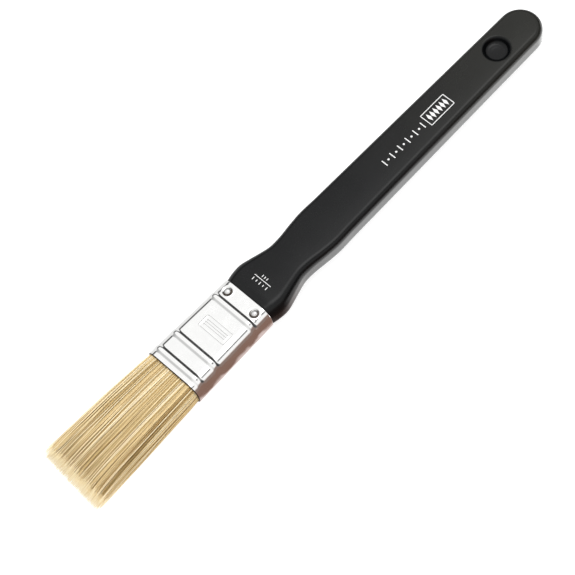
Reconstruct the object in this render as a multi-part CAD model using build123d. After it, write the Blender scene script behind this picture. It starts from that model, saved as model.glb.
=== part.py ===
from build123d import *
import math
import os

# A flat one inch varnish brush that lies on its back, in millimetres.
# +X runs from the bristle tips to the end of the handle, +Y across the width, and +Z is the
# outward normal of the front face. The origin is under the middle of the bounding box.

# Lengths along X
BRISTLE_LENGTH = 51.0
FERRULE_LENGTH = 39.0
HANDLE_LENGTH = 157.5

# Ferrule: a plated steel tube, rounded-rectangular, slightly narrower at the handle
FERRULE_WIDTH = 25.4
FERRULE_THICKNESS = 12.0
FERRULE_CORNER = 4.7
RIM_WIDTH = 23.5
RIM_THICKNESS = 11.8
RIM_CORNER = 4.6
FERRULE_WALL = 0.5
BEAD_FRACTIONS = (0.09, 0.30, 0.80)
BEAD_WIDTH = 3.0
BEAD_HEIGHT = 0.6
BEAD_REACH = 23.2
SEAM_WIDTH = 0.3
SEAM_DEPTH = 0.15

# Nails: two in front and two behind, driven through the ferrule into the handle's tenon
NAIL_FROM_RIM = 3.4
NAIL_SPACING = 13.6
NAIL_HEAD_RADIUS = 1.4
NAIL_HEAD_RISE = 0.45
NAIL_SHANK_RADIUS = 0.6
NAIL_LENGTH = 5.0
NAIL_POINT = 1.2
NAIL_POINT_RADIUS = 0.1
NAIL_HOLE_EXTRA_DEPTH = 1.0
DISH_RADIUS = 1.85
DISH_DEPTH = 0.35

# Handle: shoulders, waist and a tapering flat paddle with a round end and a dished recess
PADDLE_THICKNESS = 9.0
PADDLE_CORNER = 2.5
NECK_STATIONS = (
    # distance from the ferrule's rim, half width, thickness, corner radius
    (0.0, 11.3, 11.2, 4.3),
    (3.5, 12.0, 11.4, 4.3),
    (7.5, 12.15, 11.3, 4.1),
    (11.8, 11.1, 10.8, 3.7),
    (15.7, 9.95, 10.3, 3.3),
    (20.2, 8.9, 9.8, 3.0),
    (25.4, 8.95, 9.4, 2.8),
    (31.5, 9.65, 9.1, 2.6),
    (37.5, 10.1, PADDLE_THICKNESS, PADDLE_CORNER),
    (45.0, 9.9, PADDLE_THICKNESS, PADDLE_CORNER),
)
NECK_SLICES = 20
PADDLE_END_RADIUS = 8.7
RECESS_FROM_END = 21.8
RECESS_PROFILE = (
    # radius from the recess's axis, depth below the front face
    (0.0, 2.5),
    (3.4, 2.0),
    (4.4, 1.2),
    (6.1, 0.0),
)
RECESS_EDGE_SLOPE = 0.1

# Inside the ferrule, measured from its mouth
ROOT_END = 12.0
SPACER_END = 13.0
SPACER_THICKNESS = 2.4
EPOXY_END = 16.0
FILL_CLEARANCE = 0.05
SEAT_SETBACK = 2.8

# Free bristles: they bend about a line across the mouth, and swell towards the tips
HINGE_OUTSIDE_MOUTH = 0.8
BARREL_RADIUS = 5.0
BARREL_LENGTH = 23.4
BARREL_CORNER = 3.4
HINGE_CLEARANCE = 0.35
RESERVOIR_LENGTH = 22.0
TUFT_STATIONS = (
    # distance from the hinge line towards the tips, width, thickness, corner radius
    (0.0, 23.4, 9.4, 3.4),
    (3.4, 24.6, 11.0, 4.2),
    (20.0, 26.4, 11.8, 4.0),
    (38.0, 27.6, 11.2, 3.6),
)
TIP_SECTION = (28.0, 9.6, 3.2)

TOTAL_LENGTH = BRISTLE_LENGTH + FERRULE_LENGTH + HANDLE_LENGTH
TIP_X = -TOTAL_LENGTH / 2
MOUTH_X = TIP_X + BRISTLE_LENGTH
RIM_X = MOUTH_X + FERRULE_LENGTH
END_X = TOTAL_LENGTH / 2
MID_Z = FERRULE_THICKNESS / 2 + BEAD_HEIGHT
HINGE_X = MOUTH_X - HINGE_OUTSIDE_MOUTH
NAIL_X = RIM_X - NAIL_FROM_RIM
BIG = 400.0
PAST = 2.0


def section(x, width, thickness, corner):
    """A rounded rectangle across the brush at x."""
    plane = Plane(origin=(x, 0, MID_Z), x_dir=(0, 1, 0), z_dir=(1, 0, 0))
    return plane * RectangleRounded(width, thickness, corner)


def ferrule_section(x, offset):
    """The ferrule's outer section at x, grown by offset all round."""
    part_way = (x - MOUTH_X) / FERRULE_LENGTH
    width = FERRULE_WIDTH + (RIM_WIDTH - FERRULE_WIDTH) * part_way
    thickness = FERRULE_THICKNESS + (RIM_THICKNESS - FERRULE_THICKNESS) * part_way
    corner = FERRULE_CORNER + (RIM_CORNER - FERRULE_CORNER) * part_way
    return section(x, width + 2 * offset, thickness + 2 * offset, corner + offset)


def tube_fill(x_start, x_end, offset):
    """A solid that follows the ferrule from x_start to x_end, grown by offset."""
    return loft([ferrule_section(x_start, offset), ferrule_section(x_end, offset)], ruled=True)


def bead(x):
    """One raised bar across the front and the back at x, running out at the rounded corners."""
    half = BEAD_WIDTH / 2
    rings = [ferrule_section(x - half, 0), ferrule_section(x, BEAD_HEIGHT), ferrule_section(x + half, 0)]
    return loft(rings) & Pos(x, 0, MID_Z) * Box(2 * BEAD_WIDTH, BEAD_REACH, BIG)


def surface_z():
    """Height of the ferrule's front face above the middle plane at the nails."""
    part_way = (NAIL_X - MOUTH_X) / FERRULE_LENGTH
    return (FERRULE_THICKNESS + (RIM_THICKNESS - FERRULE_THICKNESS) * part_way) / 2


def on_faces(shape, sides):
    """Copies of a shape drawn at the origin, pointing +Z, at the nail places on the named sides."""
    copies = []
    for side in sides:
        for y in (-NAIL_SPACING / 2, NAIL_SPACING / 2):
            turn = 0 if side > 0 else 180
            place = Location((NAIL_X, y, MID_Z + side * surface_z()), (turn, 0, 0))
            copies.append(place * shape)
    return copies


def make_nail():
    """A dome-headed nail whose head sits in the ferrule's dish."""
    rise = NAIL_HEAD_RISE + DISH_DEPTH
    dome_radius = (NAIL_HEAD_RADIUS ** 2 + rise ** 2) / (2 * rise)
    dome = Pos(0, 0, NAIL_HEAD_RISE - dome_radius) * Sphere(dome_radius)
    bounds = Pos(0, 0, -DISH_DEPTH) * Cylinder(
        NAIL_HEAD_RADIUS, BIG, align=(Align.CENTER, Align.CENTER, Align.MIN))
    shank_length = NAIL_LENGTH - NAIL_POINT
    shank = Pos(0, 0, -DISH_DEPTH) * Cylinder(
        NAIL_SHANK_RADIUS, shank_length, align=(Align.CENTER, Align.CENTER, Align.MAX))
    point = Pos(0, 0, -DISH_DEPTH - shank_length) * Cone(
        NAIL_POINT_RADIUS, NAIL_SHANK_RADIUS, NAIL_POINT, align=(Align.CENTER, Align.CENTER, Align.MAX))
    return (dome & bounds) + shank + point


def nail_hole():
    """The hole that a nail makes, with a little room round the shank."""
    radius = NAIL_SHANK_RADIUS + FILL_CLEARANCE
    depth = NAIL_LENGTH + NAIL_HOLE_EXTRA_DEPTH
    return Cylinder(radius, depth, align=(Align.CENTER, Align.CENTER, Align.MAX))


def nail_dish():
    """The shallow flat-bottomed dish that the driven head leaves in the ferrule."""
    floor_radius = NAIL_HEAD_RADIUS + FILL_CLEARANCE
    dish = Pos(0, 0, -DISH_DEPTH) * Cone(
        floor_radius, DISH_RADIUS, DISH_DEPTH, align=(Align.CENTER, Align.CENTER, Align.MIN))
    above = Cylinder(DISH_RADIUS, PAST, align=(Align.CENTER, Align.CENTER, Align.MIN))
    return dish + above


def make_ferrule():
    """The plated tube with its three beads, nail dishes and a lapped seam on the far side."""
    shell = tube_fill(MOUTH_X, RIM_X, 0)
    for fraction in BEAD_FRACTIONS:
        shell += bead(MOUTH_X + fraction * FERRULE_LENGTH)
    shell -= tube_fill(MOUTH_X - PAST, RIM_X + PAST, -FERRULE_WALL)
    for cutter in on_faces(nail_dish(), (1, -1)) + on_faces(nail_hole(), (1, -1)):
        shell -= cutter
    seam_y = (RIM_WIDTH / 2 + FERRULE_WIDTH / 2) / 2
    seam_turn = math.degrees(math.atan2((FERRULE_WIDTH - RIM_WIDTH) / 2, FERRULE_LENGTH))
    seam_place = Location(((MOUTH_X + RIM_X) / 2, seam_y, MID_Z), (0, 0, -seam_turn))
    seam = seam_place * Box(FERRULE_LENGTH + 2 * PAST, 2 * SEAM_DEPTH, SEAM_WIDTH)
    return shell - seam


def neck_at(distance):
    """Half width, thickness and corner radius on the smooth curve through the neck's stations."""
    last = len(NECK_STATIONS) - 2
    i = max(k for k in range(last + 1) if NECK_STATIONS[k][0] <= distance)
    before, start, end, after = (NECK_STATIONS[max(0, min(last + 1, i + k))] for k in (-1, 0, 1, 2))
    span = end[0] - start[0]
    t = (distance - start[0]) / span
    values = []
    for k in (1, 2, 3):
        slope_in = (end[k] - before[k]) / (end[0] - before[0]) * span
        slope_out = (after[k] - start[k]) / (after[0] - start[0]) * span
        values.append(
            (2 * t ** 3 - 3 * t ** 2 + 1) * start[k] + (t ** 3 - 2 * t ** 2 + t) * slope_in
            + (3 * t ** 2 - 2 * t ** 3) * end[k] + (t ** 3 - t ** 2) * slope_out)
    return values


def make_shank():
    """Shoulders and waist in thin slices, then one straight taper to the centre of the round end."""
    sections = []
    for i in range(NECK_SLICES + 1):
        distance = NECK_STATIONS[-1][0] * i / NECK_SLICES
        half_width, thickness, corner = neck_at(distance)
        sections.append(section(RIM_X + distance, 2 * half_width, thickness, corner))
    sections.append(paddle_end_section())
    return loft(sections, ruled=True)


def paddle_end_section():
    """The paddle's section at the centre of its round end."""
    return section(END_X - PADDLE_END_RADIUS, 2 * PADDLE_END_RADIUS, PADDLE_THICKNESS, PADDLE_CORNER)


def make_round_end():
    """The half-round end: the paddle's own section turned half a turn about its upright middle line."""
    centre_x = END_X - PADDLE_END_RADIUS
    far_half = Pos(centre_x, BIG / 2, MID_Z) * Box(PAST, BIG, BIG)
    profile = paddle_end_section() & far_half
    return revolve(profile, Axis((centre_x, 0, MID_Z), (0, 0, -1)), 180)


def make_recess():
    """The shape that the round, bowl-like recess takes out of the front face near the end."""
    curve_points = [(radius, -depth) for radius, depth in RECESS_PROFILE]
    bowl = Spline(*curve_points, tangents=((1, 0), (1, RECESS_EDGE_SLOPE)))
    lid = Polyline(curve_points[-1], (curve_points[-1][0], PAST), (0, PAST), curve_points[0])
    half_section = Plane.XZ * make_face(bowl + lid)
    place = Pos(END_X - RECESS_FROM_END, 0, MID_Z + PADDLE_THICKNESS / 2)
    return place * revolve(half_section, Axis.Z, 360)


def make_handle():
    """Tenon, shoulders, waist and paddle in one piece, with the recess and the nail holes."""
    tenon = tube_fill(MOUTH_X + EPOXY_END, RIM_X, -FERRULE_WALL - FILL_CLEARANCE)
    handle = make_shank() + make_round_end() + tenon - make_recess()
    for cutter in on_faces(nail_hole(), (1, -1)):
        handle -= cutter
    return handle


def layer(low_z, high_z):
    """A slab over the whole brush between two heights above the middle plane."""
    return Pos(0, 0, MID_Z + (low_z + high_z) / 2) * Box(BIG, BIG, high_z - low_z)


def fixed_filaments(end_from_mouth):
    """What stands between the hinge line and a place inside the ferrule, hollowed round the hinge."""
    block = tube_fill(HINGE_X + SEAT_SETBACK, MOUTH_X + end_from_mouth, -FERRULE_WALL - FILL_CLEARANCE)
    hollow = Pos(HINGE_X, 0, MID_Z) * Rot(90, 0, 0) * Cylinder(BARREL_RADIUS + HINGE_CLEARANCE, BIG)
    return block - hollow


def make_root(side):
    """The potted root ends of the front (+1) or back (-1) row of filaments."""
    near = side * SPACER_THICKNESS / 2
    far = side * FERRULE_THICKNESS
    return fixed_filaments(ROOT_END) & layer(min(near, far), max(near, far))


def make_spacer():
    """The strip that keeps the two rows of filaments apart."""
    return fixed_filaments(SPACER_END) & layer(-SPACER_THICKNESS / 2, SPACER_THICKNESS / 2)


def make_epoxy():
    """The setting that holds the root ends and the spacer in the ferrule."""
    setting = tube_fill(MOUTH_X + ROOT_END, MOUTH_X + EPOXY_END, -FERRULE_WALL - FILL_CLEARANCE)
    return setting - make_spacer()


def make_barrel():
    """The round inner end of the free bristles, which turns about the hinge line."""
    plane = Plane(origin=(HINGE_X, 0, MID_Z), x_dir=(0, 1, 0), z_dir=(1, 0, 0))
    profile = RectangleRounded(BARREL_LENGTH, 2 * BARREL_RADIUS, BARREL_CORNER)
    half = profile & Pos(0, BARREL_RADIUS, 0) * Rectangle(BARREL_LENGTH, 2 * BARREL_RADIUS)
    return revolve(plane * half, Axis((HINGE_X, 0, MID_Z), (0, 1, 0)), 360)


def make_tuft(side):
    """The front (+1) or back (-1) row of free bristles, with half of the paint reservoir cut away."""
    sections = [section(HINGE_X - d, width, thick, corner) for d, width, thick, corner in TUFT_STATIONS]
    sections.append(section(TIP_X, *TIP_SECTION))
    whole = make_barrel() + loft(sections, ruled=True)
    half_gap = SPACER_THICKNESS / 2
    wide_x = HINGE_X + BARREL_RADIUS + PAST
    wedge_plane = Plane(origin=(0, BIG / 2, MID_Z), x_dir=(1, 0, 0), z_dir=(0, -1, 0))
    wedge_points = [(wide_x, half_gap), (HINGE_X, half_gap), (HINGE_X - RESERVOIR_LENGTH, 0),
                    (HINGE_X, -half_gap), (wide_x, -half_gap)]
    wedge = extrude(wedge_plane * Polygon(*wedge_points, align=None), BIG)
    far = side * FERRULE_THICKNESS
    return (whole & layer(min(0, far), max(0, far))) - wedge


def save(name, solids):
    """Write one node's solids to its STEP file."""
    shape = solids[0] if len(solids) == 1 else Compound(children=solids)
    shape.label = name
    export_step(shape, os.path.join("parts", name + ".step"))


os.makedirs("parts", exist_ok=True)
save("handle", [make_handle()])
save("ferrule", [make_ferrule()])
save("front_nails", on_faces(make_nail(), (1,)))
save("back_nails", on_faces(make_nail(), (-1,)))
save("filament_spacer", [make_spacer()])
save("epoxy_setting", [make_epoxy()])
save("front_filament_roots", [make_root(1)])
save("back_filament_roots", [make_root(-1)])
save("front_bristles", [make_tuft(1)])
save("back_bristles", [make_tuft(-1)])
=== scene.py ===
import math

import bpy
import numpy as np
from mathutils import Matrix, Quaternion, Vector


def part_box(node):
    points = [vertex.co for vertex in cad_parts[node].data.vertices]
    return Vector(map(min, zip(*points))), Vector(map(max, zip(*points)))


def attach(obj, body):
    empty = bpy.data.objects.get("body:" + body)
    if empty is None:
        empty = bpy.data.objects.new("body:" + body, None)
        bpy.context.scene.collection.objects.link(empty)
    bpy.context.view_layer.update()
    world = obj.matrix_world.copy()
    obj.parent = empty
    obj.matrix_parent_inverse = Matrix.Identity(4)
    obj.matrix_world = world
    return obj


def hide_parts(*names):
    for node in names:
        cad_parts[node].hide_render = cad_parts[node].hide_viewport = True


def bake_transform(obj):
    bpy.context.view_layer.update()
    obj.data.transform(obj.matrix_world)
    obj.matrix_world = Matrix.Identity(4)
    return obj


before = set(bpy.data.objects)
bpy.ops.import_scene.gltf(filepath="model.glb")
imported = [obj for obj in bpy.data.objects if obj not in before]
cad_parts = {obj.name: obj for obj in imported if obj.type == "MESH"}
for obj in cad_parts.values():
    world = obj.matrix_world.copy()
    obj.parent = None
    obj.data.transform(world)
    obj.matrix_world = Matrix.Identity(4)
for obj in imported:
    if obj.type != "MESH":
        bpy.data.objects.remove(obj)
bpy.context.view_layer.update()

MM = 0.001

# ---------------------------------------------------------------------------
# Places read from the frame, in millimetres
# ---------------------------------------------------------------------------


def box_mm(node):
    """The lowest and highest corner of a CAD node, in millimetres."""
    low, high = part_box(node)
    return np.array(low) / MM, np.array(high) / MM


FERRULE_LOW, FERRULE_HIGH = box_mm("ferrule")
HANDLE_LOW, HANDLE_HIGH = box_mm("handle")
TUFT_LOW, _ = box_mm("front_bristles")
NAILS_LOW, NAILS_HIGH = box_mm("front_nails")
MOUTH_X = FERRULE_LOW[0]
RIM_X = FERRULE_HIGH[0]
END_X = HANDLE_HIGH[0]
TENON_X = HANDLE_LOW[0]
TIP_X = TUFT_LOW[0]
MID_Z = (FERRULE_LOW[2] + FERRULE_HIGH[2]) / 2
NAIL_X = (NAILS_LOW[0] + NAILS_HIGH[0]) / 2
NAIL_HEAD_RADIUS = (NAILS_HIGH[0] - NAILS_LOW[0]) / 2
NAIL_Y = NAILS_HIGH[1] - NAIL_HEAD_RADIUS

# Driving sizes in millimetres. The beads, dishes, recess and crown differ a little from the CAD model's.
FERRULE_LENGTH = RIM_X - MOUTH_X
MOUTH_SECTION = (25.4, 12.0, 4.7)
RIM_SECTION = (23.5, 11.8, 4.6)
WALL = 0.5
BEAD_FRACTIONS = (0.09, 0.30, 0.80)
BEAD_TOP_HALF = 0.45
BEAD_FLANK = 1.35
BEAD_HEIGHT = 0.82
BACK_BEAD_SHARE = 0.72
DISH_DEPTH = 0.5
DISH_FLOOR = 1.3
DISH_RADIUS = 2.15
LIP_RADIUS = 2.35
LIP_WIDTH = 0.26
LIP_HEIGHT = 0.05
SEAM_HALF = 0.15
SEAM_DEPTH = 0.15
PADDLE_THICKNESS = 9.0
NECK_STATIONS = (
    # distance from the rim, half width, thickness, corner radius
    (0.0, 11.3, 11.2, 4.3),
    (3.5, 12.0, 11.4, 4.3),
    (7.5, 12.15, 11.3, 4.1),
    (11.8, 11.1, 10.8, 3.7),
    (15.7, 9.95, 10.3, 3.3),
    (20.2, 8.9, 9.8, 3.0),
    (25.4, 8.95, 9.4, 2.8),
    (31.5, 9.65, 9.1, 2.6),
    (37.5, 10.1, 9.0, 2.5),
    (45.0, 9.9, 9.0, 2.5),
)
END_RADIUS = 8.7
CROWN = 0.35
RECESS_X = END_X - 21.8
RECESS_PROFILE = (
    # distance from the axis, height
    (0.0, -2.5), (2.2, -2.42), (3.8, -2.15), (4.3, -1.85),
    (4.7, -1.2), (5.05, -0.55), (5.5, -0.15), (6.2, 0.0),
)

rng = np.random.default_rng(11)


def smooth(t):
    """Smoothstep of t, held between 0 and 1."""
    t = np.clip(t, 0.0, 1.0)
    return t * t * (3.0 - 2.0 * t)


# ---------------------------------------------------------------------------
# Mesh helpers
# ---------------------------------------------------------------------------


def mesh_piece(name, points_mm, faces, materials, face_materials=None, flat=False):
    """A mesh object from points in millimetres and a list or array of faces."""
    mesh = bpy.data.meshes.new(name)
    points = np.asarray(points_mm, float) * MM
    if isinstance(faces, np.ndarray):
        count, sides = faces.shape
        mesh.vertices.add(len(points))
        mesh.vertices.foreach_set("co", points.astype(np.float32).ravel())
        mesh.loops.add(count * sides)
        mesh.loops.foreach_set("vertex_index", faces.astype(np.int32).ravel())
        mesh.polygons.add(count)
        mesh.polygons.foreach_set("loop_start", np.arange(0, count * sides, sides, dtype=np.int32))
        mesh.update(calc_edges=True)
    else:
        mesh.from_pydata(points.tolist(), [], faces)
    for material in materials:
        mesh.materials.append(material)
    if face_materials is not None:
        mesh.polygons.foreach_set("material_index", np.asarray(face_materials, np.int32))
    mesh.polygons.foreach_set("use_smooth", np.full(len(mesh.polygons), not flat))
    mesh.validate()
    mesh.update()
    piece = bpy.data.objects.new(name, mesh)
    bpy.context.scene.collection.objects.link(piece)
    return piece


def rounded_ring(width, thickness, corner, top=72, bottom=20, side=8, arc=14):
    """Points (y, z) of a rounded rectangle, from the top's middle towards +Y, and how many the +Y half has."""
    half_y = width / 2 - corner
    half_z = thickness / 2 - corner
    turn = np.linspace(0, math.pi / 2, arc + 1)[1:-1]
    top_right = np.stack([np.linspace(0, half_y, top // 2 + 1), np.full(top // 2 + 1, thickness / 2)], 1)
    corner_top = np.stack([half_y + corner * np.sin(turn), half_z + corner * np.cos(turn)], 1)
    right = np.stack([np.full(side + 1, width / 2), np.linspace(half_z, -half_z, side + 1)], 1)
    corner_low = np.stack([half_y + corner * np.cos(turn), -half_z - corner * np.sin(turn)], 1)
    low_right = np.stack(
        [np.linspace(half_y, 0, bottom // 2 + 1), np.full(bottom // 2 + 1, -thickness / 2)], 1)
    half = np.concatenate([top_right, corner_top, right, corner_low, low_right])
    other = half[1:-1][::-1] * np.array([-1.0, 1.0])
    return np.concatenate([half, other]), len(half)


def tube_faces(rings, size):
    """Quads between consecutive closed rings of one size."""
    i = np.arange(rings - 1)[:, None] * size
    j = np.arange(size)[None, :]
    k = (j + 1) % size
    return np.stack([i + j, i + k, i + size + k, i + size + j], -1).reshape(-1, 4)


# ---------------------------------------------------------------------------
# Node material helpers
# ---------------------------------------------------------------------------


class Nodes:
    """A short way to write a shader tree."""

    def __init__(self, tree):
        self.tree = tree

    def add(self, kind, inputs=None, **settings):
        """A node with its settings, and its inputs as numbers or as sockets to link from."""
        node = self.tree.nodes.new(kind)
        for key, value in settings.items():
            setattr(node, key, value)
        for key, value in (inputs or {}).items():
            socket = node.inputs[key]
            if isinstance(value, bpy.types.NodeSocket):
                self.tree.links.new(value, socket)
            else:
                socket.default_value = value
        return node

    def math(self, operation, a, b):
        return self.add("ShaderNodeMath", {0: a, 1: b}, operation=operation).outputs[0]

    def ramp(self, value, low, high, to_low=0.0, to_high=1.0, kind="SMOOTHSTEP"):
        """The value taken from the range low..high to the range to_low..to_high."""
        inputs = {"Value": value, "From Min": low, "From Max": high, "To Min": to_low, "To Max": to_high}
        return self.add("ShaderNodeMapRange", inputs, interpolation_type=kind).outputs["Result"]

    def mix(self, factor, a, b):
        """Colour a where the factor is 0 and colour b where it is 1."""
        return self.add("ShaderNodeMix", {"Factor": factor, 6: a, 7: b}, data_type="RGBA").outputs[2]

    def noise(self, vector, scale, detail=2.0, roughness=0.5):
        inputs = {"Vector": vector, "Scale": scale, "Detail": detail, "Roughness": roughness}
        return self.add("ShaderNodeTexNoise", inputs).outputs["Fac"]

    def place(self, stretch=(1.0, 1.0, 1.0)):
        """The point on the object, scaled along each axis."""
        spot = self.add("ShaderNodeTexCoord").outputs["Object"]
        return self.add("ShaderNodeMapping", {"Vector": spot, "Scale": stretch}).outputs["Vector"]


def new_material(name, base, roughness, metallic=0.0, **sockets):
    """A Principled material, its node writer and its shader."""
    material = bpy.data.materials.new(name)
    material.use_nodes = True
    tree = material.node_tree
    shader = tree.nodes["Principled BSDF"]
    shader.inputs["Base Color"].default_value = (*base, 1.0)
    shader.inputs["Roughness"].default_value = roughness
    shader.inputs["Metallic"].default_value = metallic
    for key, value in sockets.items():
        shader.inputs[key.replace("_", " ")].default_value = value
    return material, Nodes(tree), shader


def link(nodes, output, shader, socket):
    """Feeds an output into one of the shader's named inputs."""
    nodes.tree.links.new(output, shader.inputs[socket])


def bump(nodes, shader, height, distance, strength=1.0):
    """Feeds a height into the shader's normal."""
    node = nodes.add("ShaderNodeBump", {"Height": height, "Distance": distance, "Strength": strength})
    link(nodes, node.outputs["Normal"], shader, "Normal")


def lacquer():
    """Satin black lacquer with a faint orange peel over the wood's grain, and a painted sheen: lighter towards the
    far end, outside the recess.
    """
    material, nodes, shader = new_material("black_lacquer", (0.004, 0.004, 0.0043), 0.27, IOR=1.34)
    fine = nodes.noise(nodes.place(), 900.0, 2.0)
    grain = nodes.noise(nodes.place((0.06, 1.0, 1.0)), 420.0, 3.0, 0.6)
    patch = nodes.noise(nodes.place(), 55.0, 3.0, 0.6)
    spot = nodes.place()
    along = nodes.add("ShaderNodeSeparateXYZ", {0: spot}).outputs["X"]
    recess_centre = (RECESS_X * MM, 0.0, (MID_Z + PADDLE_THICKNESS / 2) * MM)
    from_recess = nodes.add("ShaderNodeVectorMath", {0: spot, 1: recess_centre}, operation="DISTANCE")
    # painted sheen: the base colour turns lighter towards the far end of the handle, but not in the recess
    far_end_sheen = nodes.math("MULTIPLY", nodes.ramp(along, (RIM_X + 50) * MM, END_X * MM),
                      nodes.ramp(from_recess.outputs["Value"], 5.2 * MM, 6.2 * MM))
    tint = nodes.mix(patch, (0.0006, 0.0008, 0.0011, 1), (0.0022, 0.0025, 0.0029, 1))
    # the lighter colour of the painted sheen
    sheen_colour = nodes.mix(patch, (0.0085, 0.0085, 0.0068, 1), (0.0145, 0.0145, 0.012, 1))
    link(nodes, nodes.mix(far_end_sheen, tint, sheen_colour), shader, "Base Color")
    link(nodes, nodes.ramp(patch, 0.3, 0.7, 0.24, 0.31), shader, "Roughness")
    height = nodes.math("ADD", nodes.math("MULTIPLY", fine, 0.35), grain)
    bump(nodes, shader, height, 0.00002, 0.5)
    return material


def plate(name, base):
    """Plated sheet steel: nearly a mirror, with rolling waves, fine scratches and duller patches."""
    material, nodes, shader = new_material(name, base, 0.14, 1.0)
    waves = nodes.noise(nodes.place(), 160.0, 1.0)
    scratches = nodes.noise(nodes.place((40.0, 1.5, 40.0)), 60.0, 2.0)
    patch = nodes.noise(nodes.place(), 240.0, 3.0, 0.6)
    dark = tuple(0.94 * c for c in base)
    link(nodes, nodes.mix(patch, (*dark, 1), (*base, 1)), shader, "Base Color")
    link(nodes, nodes.ramp(patch, 0.25, 0.75, 0.07, 0.15), shader, "Roughness")
    height = nodes.math("ADD", waves, nodes.math("MULTIPLY", scratches, 0.03))
    bump(nodes, shader, height, 0.00006, 0.6)
    return material


def filament(name, base):
    """One tone of filament."""
    return new_material(name, base, 0.38, Specular_IOR_Level=0.4)[0]


def print_ink():
    """White screen-print ink with slightly uneven cover."""
    material, nodes, shader = new_material("white_ink", (0.78, 0.78, 0.77), 0.5)
    cover = nodes.noise(nodes.place(), 2500.0, 2.0)
    link(nodes, nodes.mix(cover, (0.62, 0.62, 0.62, 1), (0.86, 0.86, 0.85, 1)), shader, "Base Color")
    bump(nodes, shader, cover, 0.00001, 0.4)
    return material


def amber_setting():
    """Poured resin with small bubbles."""
    material, nodes, shader = new_material("amber_resin", (0.42, 0.2, 0.05), 0.2)
    cells = nodes.add("ShaderNodeTexVoronoi", {"Vector": nodes.place(), "Scale": 900.0}).outputs["Distance"]
    cloud = nodes.noise(nodes.place(), 180.0, 3.0)
    link(nodes, nodes.mix(cloud, (0.30, 0.13, 0.03, 1), (0.52, 0.27, 0.08, 1)), shader, "Base Color")
    bump(nodes, shader, nodes.ramp(cells, 0.05, 0.2), 0.0001, 0.5)
    return material


def spacer_wood():
    """Pale softwood with its grain along the width."""
    material, nodes, shader = new_material("pale_wood", (0.62, 0.45, 0.27), 0.6)
    grain = nodes.noise(nodes.place((1.0, 0.08, 1.0)), 900.0, 4.0, 0.6)
    link(nodes, nodes.mix(grain, (0.45, 0.29, 0.15, 1), (0.72, 0.55, 0.35, 1)), shader, "Base Color")
    bump(nodes, shader, grain, 0.00005, 0.6)
    return material


def packed_filaments():
    """The potted root ends: fine straight lines along the brush."""
    material, nodes, shader = new_material("packed_filaments", (0.6, 0.45, 0.25), 0.45)
    lines = nodes.noise(nodes.place((0.02, 1.0, 1.0)), 5000.0, 2.0)
    link(nodes, nodes.mix(nodes.ramp(lines, 0.3, 0.7), (0.30, 0.19, 0.08, 1), (0.74, 0.60, 0.38, 1)),
         shader, "Base Color")
    bump(nodes, shader, lines, 0.0001, 0.8)
    return material


LACQUER = lacquer()
PLATE = plate("bright_plate", (0.985, 0.985, 0.975))
NAIL_STEEL = plate("nail_steel", (0.80, 0.80, 0.79))
# a dark steel as painted shadow: the ferrule's mouth edge and the nails' skirts take it where shade falls
SHADOW_STEEL = plate("painted_shadow_steel", (0.07, 0.055, 0.045))
INK = print_ink()
TONES = (
    # body of the filament, then its paler tip
    (filament("filament_cream", (0.91, 0.78, 0.53)), filament("filament_cream_tip", (0.97, 0.87, 0.64))),
    (filament("filament_blond", (0.74, 0.57, 0.30)), filament("filament_blond_tip", (0.93, 0.80, 0.53))),
    (filament("filament_straw", (0.57, 0.41, 0.18)), filament("filament_straw_tip", (0.86, 0.71, 0.43))),
    (filament("filament_tan", (0.40, 0.25, 0.085)), filament("filament_tan_tip", (0.74, 0.57, 0.30))),
)

# ---------------------------------------------------------------------------
# Handle
# ---------------------------------------------------------------------------


def neck_at(distance):
    """Half width, thickness and corner on the smooth curve through the neck's stations."""
    last = len(NECK_STATIONS) - 1
    i = max(k for k in range(last) if NECK_STATIONS[k][0] <= distance)
    before, start, end, after = (NECK_STATIONS[max(0, min(last, i + k))] for k in (-1, 0, 1, 2))
    span = end[0] - start[0]
    t = (distance - start[0]) / span
    values = []
    for k in (1, 2, 3):
        slope_in = (end[k] - before[k]) / (end[0] - before[0]) * span
        slope_out = (after[k] - start[k]) / (after[0] - start[0]) * span
        values.append(
            (2 * t ** 3 - 3 * t ** 2 + 1) * start[k] + (t ** 3 - 2 * t ** 2 + t) * slope_in
            + (3 * t ** 2 - 2 * t ** 3) * end[k] + (t ** 3 - t ** 2) * slope_out)
    return values


def handle_size_at(x):
    """Half width, thickness and corner of the handle at x."""
    distance = x - RIM_X
    last = NECK_STATIONS[-1]
    if distance < last[0]:
        return neck_at(distance)
    part_way = (distance - last[0]) / (END_X - END_RADIUS - RIM_X - last[0])
    return last[1] + (END_RADIUS - last[1]) * part_way, last[2], last[3]


def ferrule_size(x, offset):
    """Width, thickness and corner of the ferrule at x, grown by offset."""
    part_way = (x - MOUTH_X) / FERRULE_LENGTH
    size = [a + (b - a) * part_way for a, b in zip(MOUTH_SECTION, RIM_SECTION)]
    return size[0] + 2 * offset, size[1] + 2 * offset, size[2] + offset


def recess_depth(radius):
    """Depth of the bowl at a distance from its axis, on a smooth curve through its profile."""
    knots = np.array(RECESS_PROFILE)
    slopes = np.gradient(knots[:, 1], knots[:, 0])
    slopes[0] = slopes[-1] = 0.0
    r = np.clip(radius, 0, knots[-1, 0])
    i = np.clip(np.searchsorted(knots[:, 0], r, side="right") - 1, 0, len(knots) - 2)
    span = knots[i + 1, 0] - knots[i, 0]
    t = (r - knots[i, 0]) / span
    return ((2 * t ** 3 - 3 * t ** 2 + 1) * knots[i, 1] + (t ** 3 - 2 * t ** 2 + t) * slopes[i] * span
            + (3 * t ** 2 - 2 * t ** 3) * knots[i + 1, 1] + (t ** 3 - t ** 2) * slopes[i + 1] * span)


def crown(y, half_width):
    """Rise of the handle's very slightly domed front over a flat one."""
    return CROWN * (1 - np.clip(np.abs(y) / half_width, 0, 1) ** 2)


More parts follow.
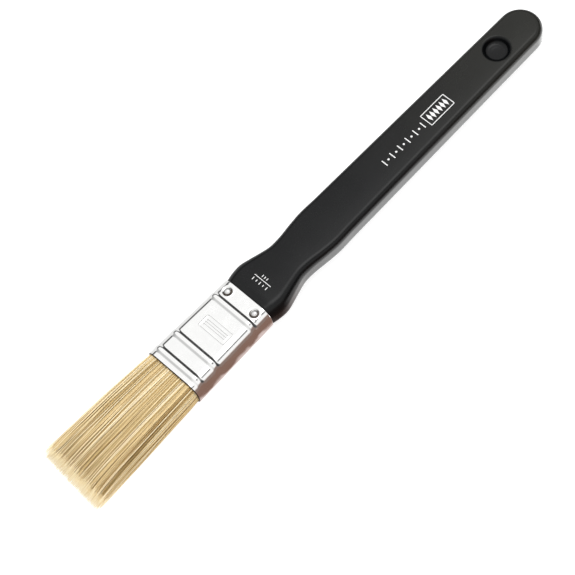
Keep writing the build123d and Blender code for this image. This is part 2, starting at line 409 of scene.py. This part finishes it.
def make_handle():
    """Tenon, shoulders, waist, paddle, recess and round end as one closed mesh."""
    rings = []
    for x in (TENON_X, RIM_X - 0.02):
        width, thickness, corner = ferrule_size(x, -WALL - 0.05)
        rings.append((x, width, thickness, corner))
    neck_end = RIM_X + NECK_STATIONS[-1][0]
    stations = list(np.arange(RIM_X, neck_end, 0.75)) + list(np.arange(neck_end, RECESS_X - 6.4, 2.0))
    stations += list(np.linspace(RECESS_X - 6.3, RECESS_X + 6.3, 76))
    stations += list(np.linspace(RECESS_X + 6.5, END_X - END_RADIUS, 6))
    for x in stations:
        half_width, thickness, corner = handle_size_at(x)
        rings.append((x, 2 * half_width, thickness, corner))
    points = []
    for x, width, thickness, corner in rings:
        ring, half_count = rounded_ring(width, thickness, corner)
        y, z = ring[:, 0], ring[:, 1]
        if x > RIM_X - 0.01:
            z = np.where(ring[:, 1] > 0, z + crown(y, width / 2) * smooth((x - RIM_X) / 4), z)
        if abs(x - RECESS_X) < 6.4:
            dip = recess_depth(np.hypot(x - RECESS_X, y))
            z = np.where(ring[:, 1] > 0, z + dip, z)
        points.append(np.stack([np.full(len(y), x), y, z + MID_Z], 1))
    size = len(points[0])
    count = len(points)
    faces = tube_faces(count, size).tolist()
    points = np.concatenate(points)
    faces.append(list(range(size))[::-1])
    # the round end: the last ring's half turned about its upright middle line
    last_start = (count - 1) * size
    centre_x = END_X - END_RADIUS
    inner = points[last_start:][1:half_count - 1]
    columns = [list(range(last_start, last_start + half_count))]
    extra = []
    for turn in np.linspace(0, math.pi, 49)[1:-1]:
        start = len(points) + len(extra)
        extra += [(centre_x + p[1] * math.sin(turn), p[1] * math.cos(turn), p[2]) for p in inner]
        columns.append([columns[0][0]] + list(range(start, start + len(inner))) + [columns[0][-1]])
    other = [last_start] + [last_start + size - i for i in range(1, half_count - 1)] + [columns[0][-1]]
    columns.append(other)
    for a, b in zip(columns, columns[1:]):
        for i in range(half_count - 1):
            # the first and last points of every column are shared, so faces there have three corners
            faces.append(list(dict.fromkeys([a[i], b[i], b[i + 1], a[i + 1]]))[::-1])
    points = np.concatenate([points, np.array(extra)])
    handle = mesh_piece("handle_lacquered", points, faces, [LACQUER])
    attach(handle, "handle_body")
    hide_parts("handle")


# ---------------------------------------------------------------------------
# Ferrule
# ---------------------------------------------------------------------------

STAMP_X, STAMP_Y = MOUTH_X + 21.7, -1.0
STAMP_HALF_X, STAMP_HALF_Y = 2.6, 6.4
STAMP_LINE = 0.2
STAMP_HEIGHT = 0.15
FINE_HALF = 3.6
COARSE_STEP, FINE_STEP = 0.2, 0.11
# the beads fade out round the corners, over these turns of the surface in degrees
FADE_START, FADE_SPAN = 22, 48
FERRULE_COUNTS = {"top": 136, "bottom": 84, "side": 14, "arc": 20}


def bead_rise(x):
    """Height of the beads at x."""
    rise = 0.0
    for fraction in BEAD_FRACTIONS:
        gap = abs(x - (MOUTH_X + fraction * FERRULE_LENGTH)) - BEAD_TOP_HALF
        up = min(1.0, max(0.0, 1 - gap / BEAD_FLANK))
        rise = max(rise, BEAD_HEIGHT * (0.6 * up + 0.4 * float(smooth(up))))
    return rise


def box_distance(x, y, half_x, half_y, corner):
    """Signed distance to a rounded rectangle round the origin."""
    dx = np.abs(x) - half_x + corner
    dy = np.abs(y) - half_y + corner
    outside = np.hypot(np.maximum(dx, 0), np.maximum(dy, 0))
    return outside + np.minimum(np.maximum(dx, dy), 0) - corner


def stamp_relief(x, y):
    """A plain raised frame with three bars inside, stamped lightly in the front."""
    border = box_distance(x - STAMP_X, y - STAMP_Y, STAMP_HALF_X, STAMP_HALF_Y, 0.7)
    relief = np.exp(-(border / STAMP_LINE) ** 2)
    for row in (-1.0, 0.0, 1.0):
        edge = box_distance(x - STAMP_X - row, y - STAMP_Y, 0.12, STAMP_HALF_Y - 1.4, 0.1)
        relief = np.maximum(relief, np.exp(-(np.maximum(edge, 0) / STAMP_LINE) ** 2))
    return STAMP_HEIGHT * relief


def make_ferrule():
    """The beaded tube, with dishes under the nails, a light stamp, a seam, rolled edges and painted shadow on the
    mouth's edge.
    """
    xs = np.concatenate([
        np.arange(MOUTH_X, STAMP_X - FINE_HALF, COARSE_STEP),
        np.arange(STAMP_X - FINE_HALF, STAMP_X + FINE_HALF, FINE_STEP),
        np.arange(STAMP_X + FINE_HALF, RIM_X, COARSE_STEP)])
    # pairs of x and offset from the plain tube: the mouth's rolled edge, the outside, the rim and the inside
    profile = [(MOUTH_X + 0.14, -WALL), (MOUTH_X, -0.40), (MOUTH_X, -0.26), (MOUTH_X + 0.12, -0.06)]
    profile += [(MOUTH_X + 0.3, None)]
    profile += [(x, None) for x in xs if MOUTH_X + 0.35 <= x < RIM_X - 0.15]
    profile += [(RIM_X - 0.14, 0.0), (RIM_X, -0.14), (RIM_X, -0.36), (RIM_X - 0.14, -WALL)]
    profile += [(x, -WALL) for x in np.linspace(RIM_X - 1, MOUTH_X + 1, 30)]
    points = []
    for x, offset in profile:
        outer = offset is None
        ring, _ = rounded_ring(*ferrule_size(x, 0.0 if outer else offset), **FERRULE_COUNTS)
        if outer:
            grown, _ = rounded_ring(*ferrule_size(x, 1.0), **FERRULE_COUNTS)
            outward = grown - ring
            turned = np.degrees(np.arctan2(np.abs(outward[:, 0]), np.abs(outward[:, 1])))
            reach = 1 - smooth((turned - FADE_START) / FADE_SPAN)
            taper = np.where(ring[:, 1] > 0, 1 - 0.45 * smooth((-ring[:, 0] - 7.5) / 3.0), BACK_BEAD_SHARE)
            ring = ring + outward * (bead_rise(x) * reach * taper)[:, None]
        y, z = ring[:, 0].copy(), ring[:, 1].copy()
        if outer:
            for nail_y in (-NAIL_Y, NAIL_Y):
                gap = np.hypot(x - NAIL_X, y - nail_y)
                dish = -DISH_DEPTH * (1 - smooth((gap - DISH_FLOOR) / (DISH_RADIUS - DISH_FLOOR)))
                lip = LIP_HEIGHT * np.exp(-((gap - LIP_RADIUS) / LIP_WIDTH) ** 2)
                z += np.sign(z) * np.where(gap < 3.2, dish + lip, 0)
            z += np.where(z > 4, stamp_relief(x, y), 0)
            seam = (np.abs(z) < SEAM_HALF * 3) & (y > 0)
            y -= np.where(seam, SEAM_DEPTH * np.exp(-(z / SEAM_HALF) ** 2), 0)
        points.append(np.stack([np.full(len(y), x), y, z + MID_Z], 1))
    size = len(points[0])
    count = len(points)
    here = np.arange(size)
    after = (here + 1) % size
    last_start = (count - 1) * size
    wrap = np.stack([here + last_start, after + last_start, after, here], 1)
    faces = np.concatenate([tube_faces(count, size), wrap])
    # the mouth's rolled edge takes the dark steel, a painted shadow of the gap between the filaments and the ferrule
    mouth_shadow_faces = np.arange(len(faces)) < 4 * size
    ferrule = mesh_piece("ferrule_plated", np.concatenate(points), faces, [PLATE, SHADOW_STEEL], mouth_shadow_faces)
    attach(ferrule, "handle_body")
    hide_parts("ferrule")


# ---------------------------------------------------------------------------
# Nails
# ---------------------------------------------------------------------------

HEAD_SPHERE = 1.8
HEAD_RADII = (0.0, 0.2, 0.4, 0.6, 0.78, 0.94, 1.05, 1.14, 1.2)
SKIRT_RADIUS = 1.42
SHANK_RADIUS = 0.6
NAIL_SIDES = 32


def make_nails(name, node, side):
    """Two dome-headed nails, turned from one profile, on the front (side 1) or the back (side -1)."""
    low, high = box_mm(node)
    surface = ferrule_size(NAIL_X, 0)[1] / 2
    top = (high[2] - MID_Z) if side > 0 else (MID_Z - low[2])
    length = high[2] - low[2]
    profile = [(r, top - HEAD_SPHERE + math.sqrt(HEAD_SPHERE ** 2 - r ** 2)) for r in HEAD_RADII]
    profile += [
        (SKIRT_RADIUS, profile[-1][1] - 0.28), (SHANK_RADIUS + 0.02, surface - DISH_DEPTH - 0.04),
        (SHANK_RADIUS, surface - 0.7), (SHANK_RADIUS, top - length + 1.2), (0.12, top - length)]
    turns = np.arange(NAIL_SIDES) * math.tau / NAIL_SIDES
    points, faces = [], []
    for nail_y in (-NAIL_Y, NAIL_Y):
        start = len(points)
        points.append((NAIL_X, nail_y, MID_Z + side * profile[0][1]))
        rings = []
        for radius, z in profile[1:]:
            rings.append(list(range(len(points), len(points) + NAIL_SIDES)))
            points += [(NAIL_X + radius * math.cos(t), nail_y + radius * math.sin(t), MID_Z + side * z)
                       for t in turns]
        for j in range(NAIL_SIDES):
            faces.append([start, rings[0][j], rings[0][(j + 1) % NAIL_SIDES]][::side])
        for a, b in zip(rings, rings[1:]):
            for j in range(NAIL_SIDES):
                m = (j + 1) % NAIL_SIDES
                faces.append([a[j], b[j], b[m], a[m]][::side])
        faces.append(rings[-1][::-side])
    # the skirt and the underside of each head take the dark steel, a painted shadow under the head
    index = [0] * (NAIL_SIDES * (len(HEAD_RADII) - 1)) + [1] * (2 * NAIL_SIDES)
    index += [0] * (len(faces) // 2 - len(index))
    nails = mesh_piece(name, points, faces, [NAIL_STEEL, SHADOW_STEEL], index * 2)
    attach(nails, "handle_body")
    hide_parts(node)


# ---------------------------------------------------------------------------
# Print on the handle
# ---------------------------------------------------------------------------

INK_THICKNESS = 0.04
INK_SINK = 0.02
DOT_SIDES = 14


def front_z(x, y):
    """Height of the handle's front face at (x, y)."""
    half_width, thickness, _ = handle_size_at(x)
    return MID_Z + thickness / 2 + float(crown(y, half_width) * smooth((x - RIM_X) / 4))


def stroke(points, faces, outline):
    """One closed printed shape with its thickness, from its outline in the XY plane."""
    start = len(points)
    n = len(outline)
    for lift in (-INK_SINK, INK_THICKNESS):
        points += [(x, y, front_z(x, y) + lift) for x, y in outline]
    faces.append([start + n + i for i in range(n)])
    faces.append([start + i for i in range(n)][::-1])
    for i in range(n):
        k = (i + 1) % n
        faces.append([start + i, start + k, start + n + k, start + n + i])


def bar(points, faces, x, y, half_x, half_y):
    """A printed rectangle with cut corners."""
    cut = min(half_x, half_y) * 0.3
    stroke(points, faces, [
        (x - half_x + cut, y - half_y), (x + half_x - cut, y - half_y), (x + half_x, y - half_y + cut),
        (x + half_x, y + half_y - cut), (x + half_x - cut, y + half_y), (x - half_x + cut, y + half_y),
        (x - half_x, y + half_y - cut), (x - half_x, y - half_y + cut)])


def dot(points, faces, x, y, radius):
    """A printed disc."""
    turns = np.arange(DOT_SIDES) * math.tau / DOT_SIDES
    stroke(points, faces, [(x + radius * math.cos(t), y + radius * math.sin(t)) for t in turns])


def diamond(points, faces, x, y, half_x, half_y):
    """A printed diamond."""
    stroke(points, faces, [(x - half_x, y), (x, y - half_y), (x + half_x, y), (x, y + half_y)])


def print_piece(name, points, faces):
    """One patch of ink, made of closed shapes."""
    piece = mesh_piece(name, points, faces, [INK], flat=True)
    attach(piece, "handle_body")


def make_prints():
    """A plain ruled mark by the shoulder and a plain band of ornament up the paddle."""
    points, faces = [], []
    rule_x = RIM_X + 7.95
    bar(points, faces, rule_x, -0.15, 0.13, 4.0)
    for i in range(5):
        bar(points, faces, rule_x - 1.55, 3.2 - 1.65 * i, 0.62 if i % 2 == 0 else 0.4, 0.16)
    for i in range(3):
        bar(points, faces, rule_x + 1.35, 1.1 - 1.1 * i, 0.5, 0.15)
    print_piece("print_rule", points, faces)
    points, faces = [], []
    for y in (-3.5, 2.3):
        bar(points, faces, RIM_X + 101.6, y, 6.2, 0.16)
    for x in (RIM_X + 95.4, RIM_X + 107.8):
        bar(points, faces, x, -0.6, 0.16, 2.9)
    for i in range(6):
        diamond(points, faces, RIM_X + 97.3 + 1.75 * i, -0.6, 0.72, 1.9)
    print_piece("print_panel", points, faces)
    points, faces = [], []
    for i in range(11):
        x = RIM_X + 93.2 - 2.1 * i
        if i % 2:
            dot(points, faces, x, -0.9, 0.42)
        else:
            bar(points, faces, x, -0.9, 0.2, 1.5)
    print_piece("print_border", points, faces)


# ---------------------------------------------------------------------------
# Filaments
# ---------------------------------------------------------------------------

TUFT_STATIONS = np.array([
    # distance from the mouth towards the tips, width, thickness
    (-4.0, 24.0, 10.5),
    (0.0, 24.1, 10.5),
    (4.2, 24.8, 11.1),
    (20.8, 26.3, 11.6),
    (38.8, 27.5, 10.6),
    (46.0, 28.2, 9.4),
    (53.0, 29.1, 7.4),
])
FILAMENT_GAP = 0.38
ROW_STEP = 0.866 * FILAMENT_GAP
JITTER = 0.08
FILAMENT_RADIUS = 0.18
ROOT_INSIDE = 3.0
STEPS = 14
CLUMPS = 1300
TIP_EXTRA = 2.3
TUBE_SIDES = 4
LOCK_SPREAD_Y, LOCK_SPREAD_Z = 14.0, 5.5
STRAY_SHARE = 0.02
TONE_LIMITS = (-0.55, 0.45, 1.35)


def filament_grid():
    """Jittered places in a rounded rectangle, in units of half its width and half its thickness."""
    half_y, half_z, corner = 13.2, 5.85, 4.2
    rows = int(2 * half_z / ROW_STEP) + 2
    columns = int(2 * half_y / FILAMENT_GAP) + 2
    i, j = np.meshgrid(np.arange(rows), np.arange(columns), indexing="ij")
    z = -half_z + i * ROW_STEP
    y = -half_y + (j + 0.5 * (i % 2)) * FILAMENT_GAP
    y = (y + rng.normal(0, JITTER, y.shape)).ravel()
    z = (z + rng.normal(0, JITTER, z.shape)).ravel()
    inside = box_distance(y, z, half_y, half_z, corner) < -0.02
    return y[inside] / half_y, z[inside] / half_z


def make_filaments():
    """Every free filament as a tapering tube, gathered in locks, in four pieces."""
    u, v = filament_grid()
    count = len(u)
    lock_u = rng.uniform(-1, 1, CLUMPS)
    lock_v = rng.uniform(-1, 1, CLUMPS)
    lock = np.hypot((u[:, None] - lock_u) * LOCK_SPREAD_Y, (v[:, None] - lock_v) * LOCK_SPREAD_Z).argmin(1)
    lock_drift = rng.normal(0, 1, (CLUMPS, 2)) * np.array([0.2, 0.1])
    lock_short = np.abs(rng.normal(0, 0.25, CLUMPS))
    lock_tone = rng.normal(0, 0.15, CLUMPS)
    drift = rng.normal(0, 1, (count, 2)) * np.array([0.36, 0.2])
    stray = rng.random(count) < STRAY_SHARE
    drift[stray] *= 3.0
    short = lock_short[lock] + 3.2 * rng.random(count) ** 1.4
    wave = rng.normal(0, 0.09, (count, 2))
    phase = rng.uniform(0, math.tau, count)
    tone = lock_tone[lock] + rng.normal(0, 0.95, count)
    tone_index = np.digitize(tone, TONE_LIMITS)
    t = np.linspace(0, 1, STEPS + 1)
    thick = FILAMENT_RADIUS * rng.uniform(0.75, 1.2, count)
    length = ROOT_INSIDE + (MOUTH_X - TIP_X) + TIP_EXTRA - 0.8 * u - short
    along = -ROOT_INSIDE + t[None, :] * length[:, None]
    half_y = np.interp(along, TUFT_STATIONS[:, 0], TUFT_STATIONS[:, 1]) / 2
    half_z = np.interp(along, TUFT_STATIONS[:, 0], TUFT_STATIONS[:, 2]) / 2
    free = np.clip(along / (MOUTH_X - TIP_X), 0, 1)
    pull = 0.45 * smooth(free * 1.1)
    y = (u[:, None] + (lock_u[lock] - u)[:, None] * pull * 0.9) * half_y
    z = (v[:, None] + (lock_v[lock] - v)[:, None] * pull * 0.55) * half_z
    y += free ** 1.3 * (lock_drift[lock, 0] + drift[:, 0])[:, None]
    y -= 0.4 * free ** 3
    z += free ** 1.3 * (lock_drift[lock, 1] + drift[:, 1])[:, None]
    ripple = np.sin(phase[:, None] + free * 7.0) * free
    y += ripple * wave[:, :1]
    z += ripple * wave[:, 1:]
    y = np.clip(y, -half_y - 0.35, half_y + 0.35)
    z = np.clip(z, -half_z - 0.15, half_z + 0.15)
    centre = np.stack([MOUTH_X - along, y, z + MID_Z], -1)
    radius = thick[:, None] * (1 - 0.55 * t ** 3)
    turn = np.arange(TUBE_SIDES) * math.tau / TUBE_SIDES + math.pi / 4
    ring = np.stack([np.zeros(TUBE_SIDES), np.cos(turn), np.sin(turn)], 1)
    tubes = centre[:, :-1, None, :] + radius[:, :-1, None, None] * ring
    for row, suffix in ((v >= 0, "front"), (v < 0, "back")):
        for part in (0, 1):
            chosen = np.flatnonzero(row & ((np.arange(count) % 2) == part))
            add_filament_piece(f"{suffix}_filaments_{part + 1}", suffix + "_bristles",
                               tubes[chosen], centre[chosen, -1], tone_index[chosen])


def add_filament_piece(name, node, tubes, tips, tones):
    """One mesh of many filaments, coloured one by one."""
    count, steps = tubes.shape[:2]
    per = steps * TUBE_SIDES + 1
    points = np.concatenate([tubes.reshape(count, -1, 3), tips[:, None, :]], 1).reshape(-1, 3)
    faces = []
    for a, b, c, d in tube_faces(steps, TUBE_SIDES).tolist():
        faces += [(a, b, c), (a, c, d)]
    tip_part = [False] * len(faces)
    end = (steps - 1) * TUBE_SIDES
    faces += [(end + j, end + (j + 1) % TUBE_SIDES, per - 1) for j in range(TUBE_SIDES)]
    tip_part += [True] * TUBE_SIDES
    # the root end is closed by two triangles
    faces += [(2, 1, 0), (3, 2, 0)]
    tip_part += [False, False]
    one = np.array(faces)[:, ::-1]
    all_faces = (one[None] + np.arange(count)[:, None, None] * per).reshape(-1, 3)
    index = tones[:, None] * 2 + np.array(tip_part, int)[None, :]
    materials = [m for pair in TONES for m in pair]
    piece = mesh_piece(name, points, all_faces, materials, index.ravel())
    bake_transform(piece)
    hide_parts(node)


# ---------------------------------------------------------------------------
# Hidden CAD nodes keep their shape and get a finish
# ---------------------------------------------------------------------------


def finish_inner_nodes():
    """Gives the spacer, the resin and the potted roots their materials."""
    spacer, resin, roots = spacer_wood(), amber_setting(), packed_filaments()
    finishes = {
        "filament_spacer": spacer,
        "epoxy_setting": resin,
        "front_filament_roots": roots,
        "back_filament_roots": roots,
    }
    for name, material in finishes.items():
        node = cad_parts[name]
        node.data.materials.clear()
        node.data.materials.append(material)


# ---------------------------------------------------------------------------
# Stage: floor, light and camera
# ---------------------------------------------------------------------------


FLOOR_HALF = 3000.0
FLOOR_GLOW = 0.74
# the browns of a painted reflection that mirrors see beside the ferrule
REFLECTED_PALE_BROWN = (0.24, 0.195, 0.185, 1)
REFLECTED_DEEP_BROWN = (0.082, 0.048, 0.037, 1)


def make_floor():
    """A pale table top that glows a little. Mirrors see a painted reflection in it: brighter, and brown beside the
    ferrule on the -Y side.
    """
    material, nodes, shader = new_material(
        "pale_floor", (0.5, 0.5, 0.5), 0.9, Specular_IOR_Level=0.0,
        Emission_Color=(1, 1, 1, 1), Emission_Strength=FLOOR_GLOW)
    grain = nodes.noise(nodes.place(), 300.0, 2.0)
    link(nodes, nodes.mix(grain, (0.49, 0.49, 0.49, 1), (0.51, 0.51, 0.51, 1)), shader, "Base Color")
    spot = nodes.add("ShaderNodeSeparateXYZ", {0: nodes.add("ShaderNodeTexCoord").outputs["Object"]}).outputs
    slant = nodes.math("ADD", spot["X"], nodes.math("MULTIPLY", spot["Y"], 0.25))
    near_side = nodes.ramp(spot["Y"], 0.0, -0.008)
    by_ferrule = nodes.math("MULTIPLY", nodes.ramp(slant, (MOUTH_X - 45) * MM, (MOUTH_X - 35) * MM),
                            nodes.ramp(slant, (RIM_X + 30) * MM, RIM_X * MM))
    by_ferrule = nodes.math("MAXIMUM", by_ferrule, nodes.ramp(spot["Y"], -0.05, -0.12))
    color = nodes.mix(near_side, (0.85, 0.85, 0.85, 1), (1, 1, 1, 1))
    patches = nodes.noise(nodes.place(), 160.0, 2.0)
    edge = nodes.math("ADD", spot["Y"], nodes.math("MULTIPLY", nodes.math("SUBTRACT", patches, 0.5), 0.004))
    brown = nodes.mix(nodes.ramp(edge, -0.0138, -0.0150), REFLECTED_PALE_BROWN, REFLECTED_DEEP_BROWN)
    color = nodes.mix(nodes.math("MULTIPLY", by_ferrule, near_side), color, brown)
    strength = nodes.ramp(near_side, 0, 1, 1.0, 2.9, "LINEAR")
    # painted reflection: an emission that only mirror rays see, brighter on the -Y side and brown by the ferrule
    mirrored = nodes.add("ShaderNodeEmission", {"Color": color, "Strength": strength})
    glossy = nodes.add("ShaderNodeLightPath").outputs["Is Glossy Ray"]
    both = nodes.add("ShaderNodeMixShader", {0: glossy, 1: shader.outputs[0], 2: mirrored.outputs[0]})
    link(nodes, both.outputs[0], nodes.tree.nodes["Material Output"], "Surface")
    half = FLOOR_HALF
    corners = [(-half, -half, 0), (half, -half, 0), (half, half, 0), (-half, half, 0)]
    floor = mesh_piece("floor", corners, [(0, 1, 2, 3)], [material], flat=True)


SHADE_AXIS = Vector((0.24, -0.44, 0.866)).normalized()
OVERHEAD_AXIS = Vector((0.24, -0.02, 0.97)).normalized()


def make_world():
    """A plain white dome. Mirrors see a darker horizon, a soft light overhead and a dark patch on the -Y side."""
    world = bpy.data.worlds.new("studio")
    bpy.context.scene.world = world
    world.use_nodes = True
    nodes = Nodes(world.node_tree)
    background = world.node_tree.nodes["Background"]
    direction = nodes.add("ShaderNodeTexCoord").outputs["Generated"]
    parts = nodes.add("ShaderNodeSeparateXYZ", {0: direction}).outputs

    def within(axis, outer, inner, low, high):
        """low outside a cone round the axis and high inside it, between two half angles in degrees."""
        node = nodes.add("ShaderNodeVectorMath", {0: direction, 1: tuple(axis)}, operation="DOT_PRODUCT")
        outer, inner = math.cos(math.radians(outer)), math.cos(math.radians(inner))
        return nodes.ramp(node.outputs["Value"], outer, inner, low, high)

    west = nodes.ramp(parts["X"], -0.2, -0.7)
    dome_start = nodes.ramp(west, 0, 1, 0.36, 0.2, "LINEAR")
    dome_span = nodes.ramp(west, 0, 1, 0.2, 0.7, "LINEAR")
    dome = nodes.ramp(nodes.math("DIVIDE", nodes.math("SUBTRACT", parts["Z"], dome_start), dome_span), 0.0, 1.0)
    far_low = nodes.math("MULTIPLY", nodes.ramp(parts["Y"], 0.75, 0.93), nodes.ramp(parts["Z"], 0.24, 0.12))
    low = nodes.math("ADD", nodes.math("MULTIPLY", west, 0.35), nodes.math("MULTIPLY", far_low, 0.75))
    near = nodes.ramp(parts["Y"], -0.75, -0.88)
    low = nodes.math("ADD", nodes.math("ADD", low, nodes.math("MULTIPLY", near, 0.2)), 0.05)
    light = nodes.ramp(dome, 0.0, 1.0, low, 1.0, "LINEAR")
    light = nodes.math("ADD", light, within(OVERHEAD_AXIS, 21, 9, 0.0, 2.4))
    light = nodes.math("MULTIPLY", light, within(SHADE_AXIS, 9, 4, 1.0, 0.25))
    mirrored = nodes.add("ShaderNodeLightPath").outputs["Is Glossy Ray"]
    link(nodes, nodes.ramp(mirrored, 0.0, 1.0, 1.0, light, "LINEAR"), background, "Strength")
    brown = nodes.math("MULTIPLY", nodes.math("MULTIPLY", near, nodes.math("SUBTRACT", 1.0, dome)), mirrored)
    link(nodes, nodes.mix(brown, (1, 1, 1, 1), (1, 0.72, 0.62, 1)), background, "Color")


def soft_lamp(name, size, energy, place, direction):
    """A square lamp that lights surfaces and that mirrors don't see."""
    data = bpy.data.lights.new(name, "AREA")
    data.size = size
    data.energy = energy
    lamp = bpy.data.objects.new(name, data)
    lamp.location = place
    lamp.rotation_mode = "QUATERNION"
    lamp.rotation_quaternion = Vector(direction).to_track_quat("-Z", "Y")
    lamp.visible_glossy = False
    bpy.context.scene.collection.objects.link(lamp)


def make_camera():
    """The camera at the view's angle: above the tips, on the -Y side, rolled so that the brush rises right."""
    azimuth, elevation, roll = math.radians(-32.49), math.radians(63.24), math.radians(-15.46)
    aim = Vector((-0.0204, -0.0064, 0.0066))
    back = Vector((math.sin(azimuth) * math.cos(elevation), -math.cos(azimuth) * math.cos(elevation),
                   math.sin(elevation)))
    data = bpy.data.cameras.new("camera")
    data.lens = 125.2
    data.sensor_width = 36.0
    data.clip_start = 0.01
    data.clip_end = 20.0
    camera = bpy.data.objects.new("camera", data)
    camera.location = aim + 0.7242 * back
    camera.rotation_mode = "QUATERNION"
    camera.rotation_quaternion = (-back).to_track_quat("-Z", "Y") @ Quaternion((0, 0, 1), roll)
    bpy.context.scene.collection.objects.link(camera)
    bpy.context.scene.camera = camera


make_handle()
make_ferrule()
make_nails("front_nail_pair", "front_nails", 1)
make_nails("back_nail_pair", "back_nails", -1)
make_prints()
make_filaments()
finish_inner_nodes()
make_floor()
make_world()
# a broad lamp for the shading between the filaments, and a small one beyond the tips, so that they don't go grey
soft_lamp("key", 0.5, 8.0, (0.25, 0.75, 0.9), (-0.3, -0.75, -0.9))
soft_lamp("fill", 0.3, 1.7, (-0.7, -0.25, 0.13), (0.58, 0.25, -0.12))
make_camera()
bpy.context.scene.view_settings.view_transform = "Standard"
